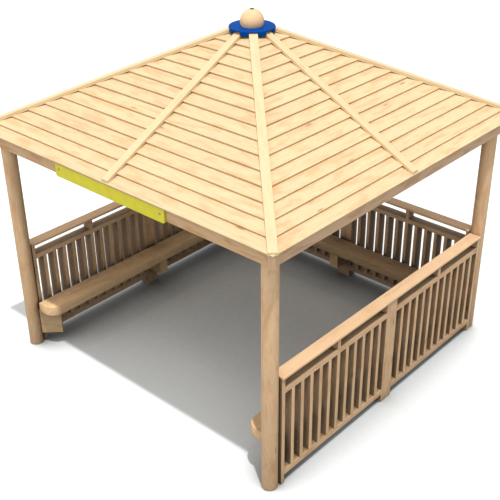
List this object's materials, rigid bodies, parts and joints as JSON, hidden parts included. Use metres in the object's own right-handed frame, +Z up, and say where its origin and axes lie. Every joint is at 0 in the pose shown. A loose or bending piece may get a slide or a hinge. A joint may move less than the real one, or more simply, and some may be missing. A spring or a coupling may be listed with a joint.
{
  "type": "garden shelter",
  "caption": "Square open garden shelter: round posts, slatted fences and benches on three sides, boarded pyramid roof with a cap and ball finial.",
  "frame": {"origin": "on the ground, below the roof tip", "axes": "+Z up, open entrance side towards -Y, fences with benches on -X, +X and +Y"},
  "size_m": [3.3738, 3.3738, 3.2093],
  "materials": {
    "post_wood": "planed, unpainted",
    "roof_boards": "sawn, unpainted",
    "beam_wood": "planed, unpainted",
    "fence_wood": "planed, unpainted",
    "bench_wood": "planed, unpainted",
    "ball_wood": "turned, satin",
    "cap_plastic": "glossy blue",
    "plug_plastic": "matt dark",
    "sign_board": "satin yellow-green"
  },
  "bodies": {
    "root": {"bench_bearers": "bench_wood", "bench_corner_boards": "bench_wood", "bench_seat_back": "bench_wood", "bench_seat_left": "bench_wood", "bench_seat_right": "bench_wood", "corner_blocks": "beam_wood", "eave_beam_back": "beam_wood", "eave_beam_front": "beam_wood", "eave_beam_left": "beam_wood", "eave_beam_right": "beam_wood", "fence_back_left": "fence_wood", "fence_back_right": "fence_wood", "fence_left_back": "fence_wood", "fence_left_front": "fence_wood", "fence_post_back": "fence_wood", "fence_post_left": "fence_wood", "fence_post_right": "fence_wood", "fence_right_back": "fence_wood", "fence_right_front": "fence_wood", "finial_ball": "ball_wood", "finial_plug": "plug_plastic", "handrail_back": "fence_wood", "handrail_left": "fence_wood", "handrail_right": "fence_wood", "hip_cover_back_left": "roof_boards", "hip_cover_back_right": "roof_boards", "hip_cover_front_left": "roof_boards", "hip_cover_front_right": "roof_boards", "hip_rafters": "beam_wood", "mid_rafters": "beam_wood", "post_back_left": "post_wood", "post_back_right": "post_wood", "post_front_left": "post_wood", "post_front_right": "post_wood", "roof_cap": "cap_plastic", "roof_slope_back": "roof_boards", "roof_slope_front": "roof_boards", "roof_slope_left": "roof_boards", "roof_slope_right": "roof_boards", "sign_board": "sign_board", "slope_cover_back": "roof_boards", "slope_cover_front": "roof_boards", "slope_cover_left": "roof_boards", "slope_cover_right": "roof_boards"}
  },
  "joints": []
}
